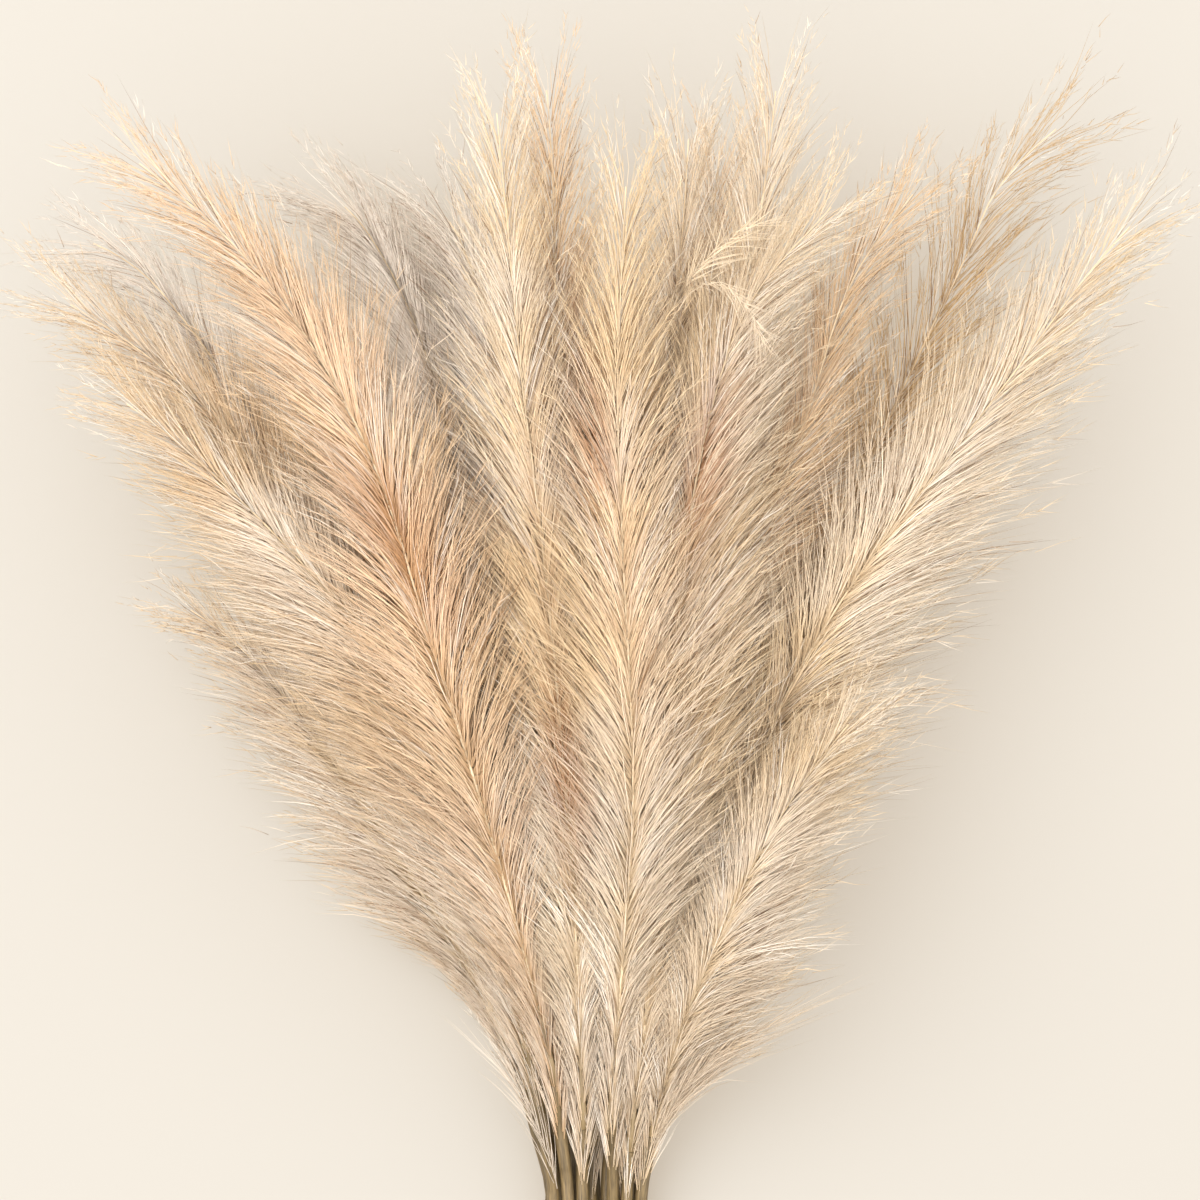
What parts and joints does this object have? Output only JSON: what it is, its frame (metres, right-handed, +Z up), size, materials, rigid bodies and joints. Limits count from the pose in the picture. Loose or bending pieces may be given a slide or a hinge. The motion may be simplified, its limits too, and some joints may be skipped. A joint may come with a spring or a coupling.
{
  "type": "bundle of dried pampas grass",
  "caption": "Bundle of dried pampas grass laid down: feathery cream and peach plumes fanned out from a sheaf of bare tan culms.",
  "frame": {"origin": "centre of the bundle's footprint, on the surface that it lies on", "axes": "+Y from the cut ends of the culms towards the plumes' tips, +X across the fan to the right when seen from above with the tips away, +Z up from the surface"},
  "size_m": [0.6088, 0.9995, 0.1611],
  "materials": {
    "culm": "satin",
    "cream_plume": "matte",
    "peach_plume": "matte",
    "beige_plume": "matte",
    "taupe_plume": "matte"
  },
  "bodies": {
    "root": {"stem_01": "culm", "plume_01": "beige_plume", "stem_02": "culm", "plume_02": "taupe_plume", "stem_03": "culm", "plume_03": "taupe_plume", "stem_04": "culm", "plume_04": "taupe_plume", "stem_05": "culm", "plume_05": "peach_plume", "stem_06": "culm", "plume_06": "beige_plume", "stem_07": "culm", "plume_07": "beige_plume", "stem_08": "culm", "plume_08": "peach_plume", "stem_09": "culm", "plume_09": "cream_plume", "stem_10": "culm", "plume_10": "cream_plume", "stem_11": "culm", "plume_11": "peach_plume", "stem_12": "culm", "plume_12": "cream_plume", "stem_13": "culm", "plume_13": "beige_plume", "stem_14": "culm", "plume_14": "peach_plume", "stem_15": "culm", "plume_15": "cream_plume", "stem_16": "culm", "plume_16": "cream_plume", "stem_17": "culm", "plume_17": "cream_plume", "stem_18": "culm", "plume_18": "cream_plume"}
  },
  "joints": []
}
